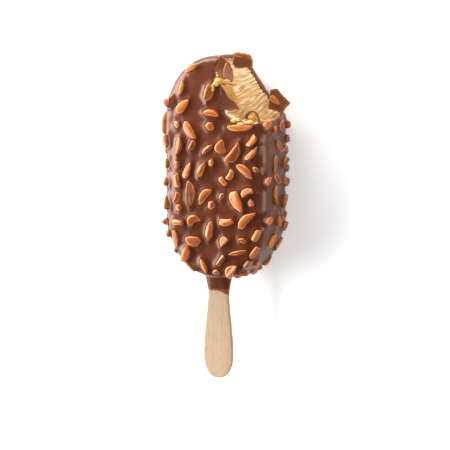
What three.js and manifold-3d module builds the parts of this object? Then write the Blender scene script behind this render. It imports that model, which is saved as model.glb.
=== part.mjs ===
// An ice cream bar on a flat wooden stick, coated in milk chocolate and chopped almonds, with its top
// right corner eaten. It lies on its back. Millimetres: X runs across the bar, Y from the stick's end
// to the bar's tip and Z up through the shown face. The origin is under the middle of the whole.

import * as THREE from "three";
import { mergeVertices } from "three/addons/utils/BufferGeometryUtils.js";
import Module from "manifold-3d";

const wasm = await Module();
wasm.setup();

// ---- Driving dimensions, millimetres and degrees ----

const GAP = 0.3; // clear space between neighbouring pieces

// The coated bar: straight sides, two rounded ends, faces and sides that swell a little.
const BAR = {
  halfWidth: 24.8,
  halfLength: 49.2,
  thickness: 26,
  topRise: 28, // length of the rounded top end
  topPower: 2.15, // 2 is an ellipse, more is squarer
  footRise: 29,
  footPower: 2,
  edgePower: 9, // how tight the edge between face and side is
  faceCrown: 0.05, // how much lower the face's rim lies, as a share of half the thickness
  sideBulge: 0.03, // how much the side draws in at the face, as a share of half the width
};
const COAT = 1.5; // chocolate
const MIDDLE = BAR.thickness / 2; // heights count from the back of the chocolate
const LIFT = 1.1; // and the almonds under it hold it this far off the ground

const STICK = {
  x: -3.5, // the stick went in a little left of the middle
  inside: 50, // length hidden in the bar
  neckHalf: 4.6,
  paddleHalf: 6.9,
  waistY: -52, // the width starts to grow here
  paddleY: -84, // and is full here, where the round end starts
  endY: -94.6,
  thickness: 2,
  bevel: 0.3,
};

// The collar of chocolate that ran down the stick and set, longer on its right.
const NECK = { wall: 0.4, endY: -54.9, hang: 1.7, flare: 3, rootY: -44, clear: 12 };

// The bite: quarter arcs about the missing corner, from the back of the bar to its face.
const BITE = {
  x: 25,
  y: 50,
  across: [20, 24.4],
  along: [27, 30.5],
  power: [1.25, 4.4],
  ridge: 0.35, // teeth marks in the ice cream
  ridges: 17,
  dip: 0.5, // the ice cream lies this far below the broken chocolate
  tongue: { share: 0.38, width: 0.1, length: 1.2 }, // chocolate left standing at the left edge
  beyond: 40, // the cut runs on past the bar
};

// ---- Shapes ----

const { sin, cos, exp, PI, abs, sign, max } = Math;
const vec = (x, y, z) => new THREE.Vector3(x, y, z);
const mix = ([low, high], share) => low + (high - low) * share;

/** A power that keeps the sign of its base. */
const power = (base, exponent) => sign(base) * abs(base) ** exponent;

/** Closed surface through rings of points, counter-clockwise seen from the last ring. */
function loft(rings, capped = true) {
  const count = rings[0].length;
  const index = [];
  for (let ring = 0; ring + 1 < rings.length; ring += 1) {
    for (let k = 0; k < count; k += 1) {
      const here = ring * count + k;
      const next = ring * count + ((k + 1) % count);
      index.push(here, next, next + count, here, next + count, here + count);
    }
  }
  const last = (rings.length - 1) * count;
  for (let k = 1; capped && k + 1 < count; k += 1) {
    index.push(0, k + 1, k, last, last + k, last + k + 1);
  }
  const geometry = new THREE.BufferGeometry().setFromPoints(rings.flat());
  return geometry.setIndex(index);
}

/** A closed geometry as a solid, with shared vertices merged and collapsed triangles left out. */
function solid(geometry) {
  const bare = geometry.clone();
  bare.deleteAttribute("normal");
  bare.deleteAttribute("uv");
  const merged = mergeVertices(bare, 1e-4);
  const corners = merged.index.array;
  const kept = [];
  for (let k = 0; k < corners.length; k += 3) {
    const [a, b, c] = corners.slice(k, k + 3);
    if (a !== b && b !== c && c !== a) {
      kept.push(a, b, c);
    }
  }
  return new wasm.Manifold(new wasm.Mesh({
    numProp: 3,
    vertProperties: new Float32Array(merged.attributes.position.array),
    triVerts: new Uint32Array(kept),
  }));
}

/** The largest piece of a solid, without the scraps that a cut leaves. */
function mainPiece(body) {
  return body.decompose().sort((a, b) => b.volume() - a.volume())[0];
}

function mesh(name, body, colour, roughness) {
  const { vertProperties, triVerts } = mainPiece(body).getMesh();
  const geometry = new THREE.BufferGeometry();
  geometry.setAttribute("position", new THREE.BufferAttribute(vertProperties, 3));
  geometry.setIndex(new THREE.BufferAttribute(triVerts, 1));
  geometry.computeVertexNormals();
  const material = new THREE.MeshStandardMaterial({ color: colour, roughness, metalness: 0 });
  const made = new THREE.Mesh(geometry, material);
  made.name = name;
  return made;
}

// ---- The bar's skin ----

/**
 * A point on the skin, or on a layer under it. Around counts top end, left side, foot and right
 * side from 0 to 4, and tilt runs from -1 in the middle of the back to 1 in the middle of the face.
 */
function skinPoint(around, tilt, under = 0) {
  const out = abs(tilt) < 1 ? cos(tilt * PI / 2) ** (2 / BAR.edgePower) : 0;
  const rise = power(sin(tilt * PI / 2), 2 / BAR.edgePower);
  const width = (BAR.halfWidth - under) * out * (1 - BAR.sideBulge * rise ** 2);
  const share = width / (BAR.halfWidth - under);
  const z = MIDDLE + (BAR.thickness / 2 - under) * rise * (1 - BAR.faceCrown * out ** 2);
  const top = BAR.halfLength - BAR.topRise;
  const foot = BAR.footRise - BAR.halfLength;
  const part = Math.floor(around);
  const turn = around - part;
  const angle = turn * PI;
  if (part === 0) {
    const y = top + (BAR.topRise - under) * share * power(sin(angle), 2 / BAR.topPower);
    return vec(width * power(cos(angle), 2 / BAR.topPower), y, z);
  }
  if (part === 2) {
    const y = foot - (BAR.footRise - under) * share * power(sin(angle), 2 / BAR.footPower);
    return vec(-width * power(cos(angle), 2 / BAR.footPower), y, z);
  }
  return part === 1 ? vec(-width, mix([top, foot], turn), z) : vec(width, mix([foot, top], turn), z);
}

/** How far out a point lies: 1 on the bar's skin and less inside. */
function reachOut({ x, y, z }) {
  const [rise, exponent] = y > 0 ? [BAR.topRise, BAR.topPower] : [BAR.footRise, BAR.footPower];
  const along = max(abs(y) - (BAR.halfLength - rise), 0) / rise;
  const across = abs(x) / BAR.halfWidth;
  const out = (across ** exponent + along ** exponent) ** (1 / exponent);
  const up = abs(z - MIDDLE) / (BAR.thickness / 2);
  const outShare = out / (1 - BAR.sideBulge * up ** 2);
  const upShare = up / (1 - BAR.faceCrown * out ** 2);
  return (outShare ** BAR.edgePower + upShare ** BAR.edgePower) ** (1 / BAR.edgePower);
}

/** The way out of the bar at a point of its skin, up the slope of reachOut. */
function skinNormal(point) {
  const slope = (axis) => {
    const step = vec(0, 0, 0).setComponent(axis, 0.01);
    return reachOut(point.clone().add(step)) - reachOut(point.clone().sub(step));
  };
  return vec(slope(0), slope(1), slope(2)).normalize();
}

/** Where a straight line from outside, running inward, meets the skin. */
function landOn(start, inward) {
  let [outside, inside] = [0, 30];
  for (let k = 0; k < 40; k += 1) {
    const middle = (outside + inside) / 2;
    const hit = reachOut(start.clone().addScaledVector(inward, middle)) < 1;
    [outside, inside] = hit ? [outside, middle] : [middle, inside];
  }
  return start.clone().addScaledVector(inward, inside);
}

/** The bar's body, or the body under a layer of it, which takes fewer facets. */
function barBody(under = 0) {
  const half = under ? [0, 0.25, 0.5, 0.75, 0.98, 1] : [0, 0.12, 0.27, 0.42, 0.58, 0.74, 0.9, 0.985, 1];
  const tilts = [...half.slice(1).reverse().map((tilt) => -tilt), ...half];
  const steps = under ? [12, 3, 12, 3] : [20, 5, 20, 5]; // top end, left side, foot and right side
  const columns = steps.flatMap((count, part) => Array.from({ length: count }, (_, k) => part + k / count));
  return solid(loft(tilts.map((tilt) => columns.map((around) => skinPoint(around, tilt, under))), false));
}

// ---- The bite ----

/** The bite's arc at a depth from 0 at the back to 1 at the face. */
function biteArc(depth) {
  return {
    across: mix(BITE.across, depth),
    along: mix(BITE.along, depth),
    exponent: BITE.power[0] * (BITE.power[1] / BITE.power[0]) ** depth,
  };
}

/** Whether a point lies in the bite or within a margin of it. */
function isEaten({ x, y, z }, margin) {
  const { across, along, exponent } = biteArc(z / BAR.thickness);
  const left = max(BITE.x - x, 0) / (across + margin);
  const down = max(BITE.y - y, 0) / (along + margin);
  return left ** exponent + down ** exponent < 1;
}

/**
 * The eaten corner as a solid: a share from 0 to 1 runs round each arc from the bar's tip to its
 * side, at depths from behind the back to before the face. The extra reach eats further in.
 */
function biteCut(arcSteps, extraReach) {
  const depths = [-0.25, -0.05, 0.2, 0.45, 0.7, 0.9, 1.05, 1.25];
  return solid(loft(depths.map((depth) => {
    const z = BAR.thickness * depth;
    const { across, along, exponent } = biteArc(depth);
    const arc = Array.from({ length: arcSteps + 1 }, (_, k) => {
      const share = k / arcSteps;
      const [left, down] = [cos(share * PI / 2), sin(share * PI / 2)];
      const reach = (left ** exponent + down ** exponent) ** (-1 / exponent);
      const extra = extraReach(share, depth);
      return vec(BITE.x - (across + extra) * left * reach, BITE.y - (along + extra) * down * reach, z);
    });
    const [top, side] = [BITE.y + BITE.beyond, BITE.x + BITE.beyond];
    return [vec(side, top, z), vec(arc[0].x, top, z), ...arc, vec(side, arc.at(-1).y, z)];
  })));
}

/** The chocolate breaks off unevenly, and a tongue of it is left at the face. */
const brokenCut = () => biteCut(26, (share, depth) => {
  const { share: middle, width, length } = BITE.tongue;
  const tongue = length * exp(-(((share - middle) / width) ** 2)) * max(depth, 0) ** 4;
  return 0.3 * sin(share * 26) + 0.25 * sin(share * 61 + 1) - tongue;
});

/** The ice cream shows the drag of the teeth from the face to the back. */
const toothedCut = () => biteCut(BITE.ridges * 3, (share) => (
  BITE.dip + BITE.ridge * cos(share * BITE.ridges * 2 * PI)));

// ---- Chopped almonds ----

// Unit outlines of the cut pieces, length along X.
const ALMOND_OUTLINES = {
  lens: [[1, -0.1], [0.45, 0.42], [-0.45, 0.42], [-1, -0.1], [-0.5, -0.5], [0.5, -0.5]],
  slat: [[1, -0.42], [0.9, 0.4], [-0.85, 0.5], [-1, -0.3], [-0.7, -0.5]],
  wedge: [[1, 0.05], [0.2, 0.46], [-0.75, 0.5], [-1, -0.1], [-0.6, -0.5], [0.3, -0.36]],
  chip: [[0.9, -0.15], [0.3, 0.5], [-0.7, 0.4], [-0.95, -0.3], [0.1, -0.5]],
};
const ALMOND_ROOT = 1.1; // depth in the chocolate

// The slices that show best: across, along, length, width and turn from X, on the face.
const FACE_ALMONDS = {
  lens: [
    [-11.3, 43.3, 6.9, 3.5, 27], [-15.8, 34.7, 6.7, 2.4, 75], [-2.6, 32.7, 8.1, 4.3, 74],
    [-1.1, 24, 8.1, 2.8, -7], [12.3, 18.2, 13, 3, 2], [-11.2, 16.4, 10.3, 3.9, -55],
    [-17, 9, 9, 2.9, 79], [-3, 8.3, 7.1, 2.3, 39], [-5.9, -0.7, 7.3, 3, 64],
    [14.7, -0.7, 9.9, 3.7, -40], [-11.7, -11.6, 12.2, 4.1, 90], [-4.4, -12.1, 9.4, 3.6, 49],
    [-2.1, -27.5, 9.4, 3.5, 81], [-9.8, -31.9, 8.5, 4.5, -5], [-18.6, -31.5, 8.5, 3.2, -81],
    [11.2, -36.3, 9, 1.9, 14], [-4.8, -43, 7, 2.5, -70],
  ],
  wedge: [
    [-14.6, 26.8, 8.6, 4.1, 44], [9.9, 7.1, 11.2, 4.6, 59], [3.7, 9.5, 6.6, 5.2, 90],
    [17.9, 6.9, 8.2, 2.8, 47], [10.9, -14.6, 10.6, 5.2, -63], [15.6, -22, 10.5, 4, 42],
    [7.8, -44.5, 7.6, 4.1, 47],
  ],
  slat: [
    [-17.6, -6.1, 6.2, 3, 101], [-18, -13.6, 5.5, 2.4, 66], [-9.8, -23, 5.8, 3.6, 34],
    [6.1, -23.2, 6.7, 3.1, 7], [15.6, -10, 5.7, 3.1, 25],
  ],
  chip: [[-1.6, 18.5, 4.3, 4.1, 44], [-1.1, -16, 4.5, 3.6, 79], [5.1, -31.7, 5.7, 3.6, 35]],
};

// On the sides: height from the back, along, length, width and turn. Bits at the edges stand out
// against the light.
const RIGHT_ALMONDS = {
  lens: [[18.5, -11.6, 8.8, 3.6, 90], [13.5, 9.8, 9.5, 3, -35], [6.5, 2.4, 8.5, 3.2, 25]],
  wedge: [[10.5, 17.5, 7.2, 4.4, -66], [7, -14.4, 8, 4.2, 40], [17, -31, 7, 4, 65]],
  chip: [
    [23.4, 19.3, 4.4, 3.6, 50], [4.5, 18.8, 4.2, 3.4, 84], [4.5, 12.4, 3.8, 3.4, 84],
    [23.2, -4.8, 4.6, 2.8, 64], [5.5, -6.3, 4.9, 3.8, 57], [22.8, -22, 4.4, 3, 59],
    [15, -22.8, 5.8, 3.4, 70], [4.6, -26, 5, 3.6, 84],
  ],
};
const LEFT_ALMONDS = {
  wedge: [[24.2, 11.4, 6, 3.4, 84], [24, -15.9, 6.4, 3.8, 96]],
  chip: [
    [24.4, 28.4, 4.8, 4.4, 80], [24, 1.4, 4.8, 3.8, 90], [23.8, -6.6, 4.2, 3.8, 90],
    [24, -24.3, 3.8, 3.4, 90], [24, -29.2, 3.6, 3.2, 90],
  ],
};

// Small ones in the middle of the face, laid last.
const MIDDLE_ALMONDS = {
  slat: [[7.8, -2.7, 4.9, 2.7, 62], [4.4, -5.6, 4.6, 2.5, -50]],
  chip: [[-1.1, 2.5, 3.7, 2.5, 80], [3.9, -12, 3.8, 2.3, 62]],
};

// What fills the space between them, largest first: kind, length, width and number of tries.
const FILL_ALMONDS = [
  { kind: "lens", length: [8, 10.5], width: [3, 4.2], tries: 150 },
  { kind: "wedge", length: [6.5, 9], width: [3.2, 4.6], tries: 220 },
  { kind: "slat", length: [4.6, 6.4], width: [2, 3], tries: 420 },
  { kind: "chip", length: [3.3, 4.6], width: [2.2, 3.2], tries: 840 },
];
const ALMOND_HEIGHTS = [0.9, 1.9];
const SIDE_HEIGHTS = [1.5, 2.3]; // of those placed on the sides
const ALMOND_LEAN = 0.3; // how much higher a cut top is at one end, at most, as a share
const ALMOND_CLEAR = 0.8; // bare chocolate between two almonds, about
const ALMOND_BEVEL = 0.45;
const ALMOND_SEED = 92;
const BARE_TIP = { y: 33, z: 0.5 }; // few almonds stuck to the tip's face and rim
const BARE_BITE = 2.5; // those this near the bite came off with it
const BARE_RIDGE = { x: 20, y: 30, z: 21.5 }; // and few on the ridge at the right of the face

/** Repeatable random numbers from 0 to 1. */
function randomNumbers(seed) {
  let state = seed;
  return () => {
    state = (Math.imul(state, 1664525) + 1013904223) >>> 0;
    return state / 2 ** 32;
  };
}

/** Level and upright directions in the plane that faces along a normal, with the normal itself. */
function planeFrame(normal) {
  const level = abs(normal.y) < 0.95 ? vec(0, 1, 0).cross(normal) : vec(1, 0, 0);
  level.addScaledVector(normal, -level.dot(normal)).normalize();
  return { level, upright: normal.clone().cross(level), normal };
}

/** Whether a face turns into a side here. */
const isEdge = (normal) => abs(normal.z) > 0.25 && abs(normal.z) < 0.97;

/** The turn in degrees that lays a piece along the outline of the bar. */
function turnAlongEdge(normal) {
  const { level, upright } = planeFrame(normal);
  const along = vec(0, 0, 1).cross(normal);
  return Math.atan2(along.dot(upright), along.dot(level)) * 180 / PI;
}

/** Height and two leans of a cut top, along and across. */
function drawnTop(heights, random) {
  const height = mix(heights, random());
  const lean = [random(), random()].map((share) => mix([-ALMOND_LEAN, ALMOND_LEAN], share));
  return { height, lean };
}

/** An almond's size and place, with its directions along, across and out of the skin. */
function laidAlmond(point, normal, turn, size) {
  const { level, upright } = planeFrame(normal);
  const angle = turn * PI / 180;
  const lengthwise = level.multiplyScalar(cos(angle)).addScaledVector(upright, sin(angle));
  return { ...size, point, normal, lengthwise, widthwise: normal.clone().cross(lengthwise) };
}

/** The almonds of a table, dropped inward onto the skin, with their tops drawn. */
function laidTable(almonds, heights, start, inward, random) {
  return Object.entries(almonds).flatMap(([kind, rows]) => (
    rows.map(([first, along, length, width, turn]) => {
      const point = landOn(start(first, along), inward);
      const size = { kind, length, width, ...drawnTop(heights, random) };
      return laidAlmond(point, skinNormal(point), turn, size);
    })));
}

/** The almonds of a table of places on the face. */
function laidOnFace(almonds, random) {
  return laidTable(almonds, ALMOND_HEIGHTS, (x, y) => vec(x, y, 40), vec(0, 0, -1), random);
}

/** The almonds that have places of their own on the face and on the sides. */
function shownAlmonds(random) {
  const onRight = (height, y) => vec(40, y, height);
  const onLeft = (height, y) => vec(-40, y, height);
  return [
    ...laidOnFace(FACE_ALMONDS, random),
    ...laidTable(RIGHT_ALMONDS, SIDE_HEIGHTS, onRight, vec(-1, 0, 0), random),
    ...laidTable(LEFT_ALMONDS, SIDE_HEIGHTS, onLeft, vec(1, 0, 0), random),
  ];
}

/** Whether a new almond's middle keeps clear of the oval round another. */
function keepsClear(point, size, other) {
  const reach = (size.length + size.width) / 4 + ALMOND_CLEAR;
  const away = point.clone().sub(other.point);
  const along = away.dot(other.lengthwise) / (other.length / 2 + reach);
  const across = away.dot(other.widthwise) / (other.width / 2 + reach);
  const out = away.dot(other.normal) / (other.width / 2 + reach);
  return along ** 2 + across ** 2 + out ** 2 > 1;
}

/** Whether almonds are missing here: on the tip, round the neck and at the bite. */
function isBare(point) {
  const neck = vec(STICK.x, -BAR.halfLength, MIDDLE);
  const tip = point.y > BARE_TIP.y && point.z > BARE_TIP.z;
  const beside = point.x > BARE_RIDGE.x && abs(point.y) < BARE_RIDGE.y;
  if (beside && point.z > BARE_RIDGE.z) return true;
  return tip || point.distanceTo(neck) < NECK.clear || isEaten(point, BARE_BITE);
}

/** All almonds: those of the tables, and drawn ones wherever they keep clear, largest first. */
function scatterAlmonds() {
  const random = randomNumbers(ALMOND_SEED);
  const placed = shownAlmonds(random);
  for (const { kind, length, width, tries } of FILL_ALMONDS) {
    for (let k = 0; k < tries; k += 1) {
      const point = skinPoint(random() * 4, random() * 2 - 1);
      const size = { kind, length: mix(length, random()), width: mix(width, random()) };
      Object.assign(size, drawnTop(ALMOND_HEIGHTS, random));
      const swing = random();
      const normal = skinNormal(point);
      const turn = isEdge(normal) ? turnAlongEdge(normal) + mix([-20, 20], swing) : swing * 360;
      if (!isBare(point) && placed.every((other) => keepsClear(point, size, other))) {
        placed.push(laidAlmond(point, normal, turn, size));
      }
    }
  }
  return [...placed, ...laidOnFace(MIDDLE_ALMONDS, random)];
}

/** One piece of almond: it stands in the chocolate, and its leaning top is cut back all round. */
function almond({ kind, point, normal, lengthwise, widthwise, length, width, height, lean = [0, 0] }) {
  const ring = (rise, cut, leaning) => ALMOND_OUTLINES[kind].map(([x, y]) => point.clone()
    .addScaledVector(lengthwise, x * (length / 2 - cut))
    .addScaledVector(widthwise, y * (width - 2 * cut))
    .addScaledVector(normal, rise * (1 + leaning * (lean[0] * x + lean[1] * 2 * y))));
  const small = kind === "chip" || kind === "slat"; // these simply taper
  const wall = small ? [] : [ring(height * 0.5, 0, 1)];
  return solid(loft([ring(-ALMOND_ROOT, 0, 0), ...wall, ring(height, ALMOND_BEVEL, 1)]));
}

// ---- Broken chocolate at the bite ----

// Each shard lies in its own plane: where its middle is, which way it faces and its outline there.
const SHARDS = {
  left_shard: {
    at: [2.6, 41.7, 20.5], facing: [0.6, 0, 0.8], thickness: 1.7,
    outline: [
      [-2, 7], [-3.5, 3], [-4.5, 0], [-3, -2.5], [0.5, -4.5], [4, -6], [4.5, -3], [3.5, 1], [1.5, 4.5],
    ],
    almond: { kind: "lens", at: [1.1, -0.6], length: 10.4, width: 4, turn: -68, height: 0.9 },
  },
  top_shard: {
    at: [9.2, 46.4, 16], facing: [0.3, -0.1, 0.95], thickness: 4,
    outline: [[-4.3, 1.5], [-4.5, -3.5], [0.5, -3.5], [4.5, -3], [4.6, 0.6], [3.2, 2], [-3.2, 4]],
    almond: { kind: "lens", at: [0, 2.6], length: 7.8, width: 2.2, turn: -18, height: 1 },
  },
  lower_shard: {
    at: [4.4, 28.7, 20.1], facing: [0.62, 0.2, 0.75], thickness: 1.5,
    outline: [[-3.6, 7.5], [-5, -2.5], [-3, -4.6], [3, -3.7], [5.5, -3.5], [3.5, -0.5], [0.5, 2]],
  },
  right_shard: {
    at: [23.1, 28.9, 7.5], facing: [0.3, 0.1, 0.95], thickness: 1.7,
    outline: [
      [-4, 5], [-4.5, 2], [-5, -3.5], [-1.5, -4.5], [1.5, -5.5], [2.5, -3.5], [5, -1], [0.5, 3.5], [-1, 5.5],
    ],
    almond: { kind: "wedge", at: [-1.9, 0], length: 5.6, width: 3, turn: -42, height: 1.2 },
  },
};

// A strip of chocolate pushed up into a loop at the lower edge, with a bit of almond in it.
const CURL = {
  path: [[12, 19.6, 19.5], [13.2, 23, 19.1], [15.3, 24.6, 18.9], [17.8, 23.6, 19.1], [20.8, 19.4, 19.5]],
  width: 2,
  thickness: 1,
  almond: { kind: "chip", at: [15.8, 21.4, 18.7], length: 7, width: 4.2, turn: 15, height: 0.9 },
};

/** A matrix that lays the XY plane at a point, facing a way. */
function planeMatrix(at, facing) {
  const { level, upright, normal } = planeFrame(vec(...facing).normalize());
  return new THREE.Matrix4().makeBasis(level, upright, normal).setPosition(...at);
}

/** A broken plate with a narrow bevel all round, or the slightly larger room it lies in. */
function plate({ at, facing, thickness, outline }, room = 0) {
  const rim = 0.35;
  const shape = new THREE.Shape(outline.map(([x, y]) => new THREE.Vector2(x, y)));
  const geometry = new THREE.ExtrudeGeometry(shape, {
    depth: thickness - 2 * rim + 2 * room,
    bevelThickness: rim,
    bevelSize: rim + room,
    bevelOffset: -rim,
    bevelSegments: 1,
  });
  geometry.translate(0, 0, rim - thickness / 2 - room);
  return solid(geometry.applyMatrix4(planeMatrix(at, facing)));
}

/** A plate with the almond that is stuck on it. */
function shard(shape) {
  const bare = plate(shape);
  if (!shape.almond) {
    return bare;
  }
  const [x, y] = shape.almond.at;
  const point = vec(x, y, shape.thickness / 2).applyMatrix4(planeMatrix(shape.at, shape.facing));
  const normal = vec(...shape.facing).normalize();
  return bare.add(almond(laidAlmond(point, normal, shape.almond.turn, shape.almond)));
}

/** The loop, or the slightly larger room it lies in. */
function curl(room = 0) {
  const [across, through] = [CURL.width / 2 + room, CURL.thickness / 2 + room];
  const corners = [[-across, -through], [across, -through], [across, through], [-across, through]];
  const section = new THREE.Shape(corners.map(([x, y]) => new THREE.Vector2(x, y)));
  const path = new THREE.CatmullRomCurve3(CURL.path.map((point) => vec(...point)));
  const strip = solid(new THREE.ExtrudeGeometry(section, { steps: 12, extrudePath: path }));
  const { kind, at, turn, length, width, height } = CURL.almond;
  const size = { kind, length: length + 2 * room, width: width + 2 * room, height: height + room };
  return strip.add(almond(laidAlmond(vec(...at), vec(0, 0, 1), turn, size)));
}

// ---- Stick and neck ----

/** Half the stick's width along its length, growing smoothly from the neck to the paddle. */
function stickHalf(y) {
  const share = THREE.MathUtils.smoothstep(-y, -STICK.waistY, -STICK.paddleY);
  return mix([STICK.neckHalf, STICK.paddleHalf], share);
}

/** The flat stick, or the slightly larger slot it sits in. */
function stick(room = 0) {
  const steps = 8;
  const innerY = STICK.inside - BAR.halfLength;
  const right = [];
  for (let k = 0; k <= steps; k += 1) { // half the round end, from its tip
    const angle = k / steps * PI / 2;
    const y = STICK.paddleY - (STICK.paddleY - STICK.endY) * cos(angle) ** 0.9;
    right.push([STICK.paddleHalf * sin(angle) ** 0.9, y]);
  }
  for (let k = 1; k <= steps; k += 1) {
    const y = mix([STICK.paddleY, STICK.waistY], k / steps);
    right.push([stickHalf(y), y]);
  }
  for (let k = 0; k <= steps; k += 1) { // half the round inner end
    const angle = k / steps * PI / 2;
    right.push([STICK.neckHalf * cos(angle), innerY - STICK.neckHalf + STICK.neckHalf * sin(angle)]);
  }
  const left = right.slice(1, -1).reverse().map(([x, y]) => [-x, y]);
  const shape = new THREE.Shape([...right, ...left].map(([x, y]) => new THREE.Vector2(x, y)));
  const geometry = new THREE.ExtrudeGeometry(shape, {
    depth: STICK.thickness - 2 * STICK.bevel + 2 * room,
    bevelThickness: STICK.bevel,
    bevelSize: STICK.bevel + room,
    bevelOffset: -STICK.bevel,
    bevelSegments: 1,
  });
  return solid(geometry.translate(STICK.x, 0, MIDDLE - STICK.thickness / 2 + STICK.bevel - room));
}

/** The chocolate collar, wide where it leaves the bar and cut off aslant on the stick. */
function neck() {
  const levels = [0, 0.4, 0.7, 1];
  return solid(loft(levels.map((share) => Array.from({ length: 24 }, (_, k) => {
    const angle = k / 24 * 2 * PI;
    const spread = NECK.wall + NECK.flare * (1 - share) ** 1.2;
    const across = (STICK.neckHalf + spread) * power(cos(angle), 0.75);
    const through = (STICK.thickness / 2 + spread) * power(sin(angle), 0.75);
    const hang = NECK.hang * share * THREE.MathUtils.smoothstep(across, 0, STICK.neckHalf);
    return vec(STICK.x + across, mix([NECK.rootY, NECK.endY], share) - hang, MIDDLE + through);
  }))));
}

// ---- The object ----

const rooms = [...Object.values(SHARDS).map((shape) => plate(shape, GAP)), curl(GAP)];

function coating() {
  const almonds = scatterAlmonds().map(almond);
  const ground = solid(new THREE.BoxGeometry(200, 200, 20).translate(0, 0, -10 - LIFT));
  const whole = wasm.Manifold.union([barBody(), neck(), ...almonds]);
  const cuts = [barBody(COAT), brokenCut(), stick(GAP), ground, ...rooms];
  return cuts.reduce((body, cut) => body.subtract(cut), whole);
}

function iceCream() {
  const cuts = [toothedCut(), stick(GAP), ...rooms];
  return cuts.reduce((body, cut) => body.subtract(cut), barBody(COAT + GAP));
}

const bar = new THREE.Group();
bar.add(mesh("coating", coating(), 0x774533, 0.4));
bar.add(mesh("ice_cream", iceCream(), 0xe1b574, 0.6));
bar.add(mesh("stick", stick(), 0xd9ba9b, 0.7));
for (const [name, shape] of Object.entries(SHARDS)) {
  bar.add(mesh(name, shard(shape), 0x774533, 0.4));
}
bar.add(mesh("curl", curl(), 0x774533, 0.4));

// The origin goes under the middle of the whole.
const box = new THREE.Box3().setFromObject(bar);
bar.position.set(-(box.min.x + box.max.x) / 2, -(box.min.y + box.max.y) / 2, LIFT);

const whole = new THREE.Group();
whole.add(bar);

export default whole;
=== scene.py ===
"""An ice cream bar on a flat stick, in milk chocolate with chopped almonds, with one corner eaten.

It lies on its back. Shapes are worked out in bar millimetres: X across, Y to the tip and Z up from
the back of the chocolate, with the middle of the bar at X = Y = 0.
"""

import math

import bmesh
import bpy
import numpy as np
from mathutils import Matrix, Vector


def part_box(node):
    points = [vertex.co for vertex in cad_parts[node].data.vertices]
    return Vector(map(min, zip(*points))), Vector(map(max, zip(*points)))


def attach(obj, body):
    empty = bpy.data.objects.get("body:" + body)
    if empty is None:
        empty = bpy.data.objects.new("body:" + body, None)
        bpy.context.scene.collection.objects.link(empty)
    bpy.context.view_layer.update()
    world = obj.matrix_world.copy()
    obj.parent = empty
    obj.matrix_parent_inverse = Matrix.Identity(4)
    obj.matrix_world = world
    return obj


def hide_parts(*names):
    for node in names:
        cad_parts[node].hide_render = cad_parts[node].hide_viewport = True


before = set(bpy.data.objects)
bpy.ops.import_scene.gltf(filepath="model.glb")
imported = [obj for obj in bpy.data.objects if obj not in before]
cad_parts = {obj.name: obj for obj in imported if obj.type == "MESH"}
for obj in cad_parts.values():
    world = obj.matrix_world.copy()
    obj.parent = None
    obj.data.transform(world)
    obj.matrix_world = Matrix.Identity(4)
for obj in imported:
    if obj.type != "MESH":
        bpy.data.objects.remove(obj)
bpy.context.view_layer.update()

# ---- The stick ----
# A flat birch stick, punched from veneer and tumbled, so its edges are soft. The ice cream freezes
# round its inner half. Only the paddle shows, wider than the neck.

STICK_X = -3.5
STICK_INNER_Y, STICK_WAIST_Y, STICK_PADDLE_Y, STICK_END_Y = 0.8, -52.0, -84.0, -94.6
STICK_NECK_HALF, STICK_PADDLE_HALF = 4.6, 6.9
STICK_HALF_THICKNESS = 1.0
STICK_SOFT_EDGE = 0.35
MIDDLE = 13.0  # height of the bar's middle plane, in which the stick lies

stick_low, stick_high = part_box("stick")
BAR_PLACE = np.array([
    (stick_low.x + stick_high.x) * 500 - STICK_X,
    stick_low.y * 1000 - STICK_END_Y,
    (stick_low.z + stick_high.z) * 500 - MIDDLE,
])


def grid_faces(rows, columns, copies=1):
    """Quads between neighbouring rows of points. Each row closes on itself, and copies follow on."""
    here = np.arange(copies * rows * columns).reshape(copies, rows, columns)
    ahead = np.roll(here, -1, axis=2)
    quads = [here[:, :-1], ahead[:, :-1], ahead[:, 1:], here[:, 1:]]
    return np.stack(quads, axis=-1).reshape(-1, 4).tolist()


def capped_faces(rows, columns):
    """The same quads, with a face more over the first row and over the last."""
    ends = [list(range(columns))[::-1], list(range((rows - 1) * columns, rows * columns))]
    return grid_faces(rows, columns) + ends


def add_object(name, data):
    """A named object in the scene."""
    made = bpy.data.objects.new(name, data)
    bpy.context.scene.collection.objects.link(made)
    return made


def carry(mesh, label, value, domain="POINT"):
    """Gives a mesh a value at each point or face, for its material to read."""
    made = mesh.attributes.new(label, "FLOAT", domain)
    made.data.foreach_set("value", value.astype(np.float32))


def new_piece(name, points, faces=None, sharp=35, **values):
    """A mesh object from loops of points in bar millimetres, with doubled points merged and shaded
    smooth up to an angle in degrees. Its points carry the named values."""
    mesh = bpy.data.meshes.new(name)
    faces = faces or grid_faces(*points.shape[:2])
    mesh.from_pydata(((points.reshape(-1, 3) + BAR_PLACE) / 1000).tolist(), [], faces)
    for label, value in values.items():
        carry(mesh, label, np.broadcast_to(value, points.shape[:-1]).ravel())
    closed = bmesh.new()
    closed.from_mesh(mesh)
    bmesh.ops.remove_doubles(closed, verts=closed.verts, dist=2e-6)
    bmesh.ops.dissolve_degenerate(closed, edges=closed.edges, dist=1e-7)
    closed.to_mesh(mesh)
    closed.free()
    piece = add_object(name, mesh)
    shade(piece, sharp)
    return piece


def shade(piece, sharp):
    """Smooth shading, with edges left sharp where faces meet at more than an angle in degrees."""
    with bpy.context.temp_override(
        object=piece, active_object=piece, selected_editable_objects=[piece], selected_objects=[piece]
    ):
        bpy.ops.object.shade_smooth_by_angle(angle=math.radians(sharp))


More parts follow.
